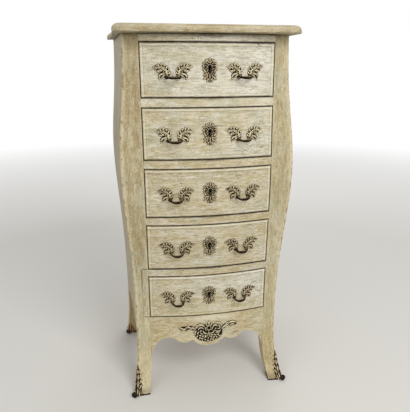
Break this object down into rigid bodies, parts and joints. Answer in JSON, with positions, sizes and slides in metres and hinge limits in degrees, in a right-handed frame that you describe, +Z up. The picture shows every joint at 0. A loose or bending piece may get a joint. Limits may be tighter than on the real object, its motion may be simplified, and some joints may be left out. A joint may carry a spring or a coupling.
{
  "type": "semainier",
  "caption": "Tall narrow bombe chest of drawers: bowed, swelling fronts with rococo bronze pulls, escutcheons and apron mount, on splayed legs shod in bronze sabots.",
  "frame": {"origin": "on the floor, under the middle of the chest's bounding box", "axes": "+Z up, front toward -Y, +X to the chest's left-hand side as it stands, which is the viewer's right"},
  "size_m": [0.5748, 0.4322, 1.15],
  "materials": {
    "painted_wood": "cream limed paint, brushed and rubbed through to brown at the edges",
    "bare_wood": "plain sawn and planed secondary wood",
    "bronze": "cast, darkened in the hollows and rubbed bright on the high parts",
    "lock_iron": "dark oiled iron"
  },
  "bodies": {
    "case": {"top_board": "painted_wood", "front_post_left": "painted_wood", "front_post_right": "painted_wood", "back_post_left": "painted_wood", "back_post_right": "painted_wood", "side_panel_left": "painted_wood", "side_panel_right": "painted_wood", "back_panel": "bare_wood", "bottom_board": "bare_wood", "front_apron": "painted_wood", "top_rail": "painted_wood", "rail_1": "painted_wood", "rail_2": "painted_wood", "rail_3": "painted_wood", "rail_4": "painted_wood", "drawer_runners": "bare_wood", "drawer_stops": "bare_wood", "sabots_front": "bronze", "sabots_back": "bronze", "apron_mount": "bronze"},
    "drawer_1": {"drawer_1_front": "painted_wood", "drawer_1_sides": "bare_wood", "drawer_1_back": "bare_wood", "drawer_1_bottom": "bare_wood", "drawer_1_lock": "lock_iron", "drawer_1_escutcheon": "bronze", "drawer_1_handles": "bronze"},
    "lock_bolt_1": {"drawer_1_lock_bolt": "lock_iron"},
    "drawer_2": {"drawer_2_front": "painted_wood", "drawer_2_sides": "bare_wood", "drawer_2_back": "bare_wood", "drawer_2_bottom": "bare_wood", "drawer_2_lock": "lock_iron", "drawer_2_escutcheon": "bronze", "drawer_2_handles": "bronze"},
    "lock_bolt_2": {"drawer_2_lock_bolt": "lock_iron"},
    "drawer_3": {"drawer_3_front": "painted_wood", "drawer_3_sides": "bare_wood", "drawer_3_back": "bare_wood", "drawer_3_bottom": "bare_wood", "drawer_3_lock": "lock_iron", "drawer_3_escutcheon": "bronze", "drawer_3_handles": "bronze"},
    "lock_bolt_3": {"drawer_3_lock_bolt": "lock_iron"},
    "drawer_4": {"drawer_4_front": "painted_wood", "drawer_4_sides": "bare_wood", "drawer_4_back": "bare_wood", "drawer_4_bottom": "bare_wood", "drawer_4_lock": "lock_iron", "drawer_4_escutcheon": "bronze", "drawer_4_handles": "bronze"},
    "lock_bolt_4": {"drawer_4_lock_bolt": "lock_iron"},
    "drawer_5": {"drawer_5_front": "painted_wood", "drawer_5_sides": "bare_wood", "drawer_5_back": "bare_wood", "drawer_5_bottom": "bare_wood", "drawer_5_lock": "lock_iron", "drawer_5_escutcheon": "bronze", "drawer_5_handles": "bronze"},
    "lock_bolt_5": {"drawer_5_lock_bolt": "lock_iron"}
  },
  "joints": [
    {"name": "drawer_1_slide", "type": "slide", "parent": "case", "child": "drawer_1", "axis": [0, -1, 0], "range_m": [0, 0.25]},
    {"name": "lock_bolt_1_throw", "type": "slide", "parent": "drawer_1", "child": "lock_bolt_1", "axis": [0, 0, 1], "range_m": [0, 0.008]},
    {"name": "drawer_2_slide", "type": "slide", "parent": "case", "child": "drawer_2", "axis": [0, -1, 0], "range_m": [0, 0.25]},
    {"name": "lock_bolt_2_throw", "type": "slide", "parent": "drawer_2", "child": "lock_bolt_2", "axis": [0, 0, 1], "range_m": [0, 0.008]},
    {"name": "drawer_3_slide", "type": "slide", "parent": "case", "child": "drawer_3", "axis": [0, -1, 0], "range_m": [0, 0.25]},
    {"name": "lock_bolt_3_throw", "type": "slide", "parent": "drawer_3", "child": "lock_bolt_3", "axis": [0, 0, 1], "range_m": [0, 0.008]},
    {"name": "drawer_4_slide", "type": "slide", "parent": "case", "child": "drawer_4", "axis": [0, -1, 0], "range_m": [0, 0.25]},
    {"name": "lock_bolt_4_throw", "type": "slide", "parent": "drawer_4", "child": "lock_bolt_4", "axis": [0, 0, 1], "range_m": [0, 0.008]},
    {"name": "drawer_5_slide", "type": "slide", "parent": "case", "child": "drawer_5", "axis": [0, -1, 0], "range_m": [0, 0.25]},
    {"name": "lock_bolt_5_throw", "type": "slide", "parent": "drawer_5", "child": "lock_bolt_5", "axis": [0, 0, 1], "range_m": [0, 0.008]}
  ]
}
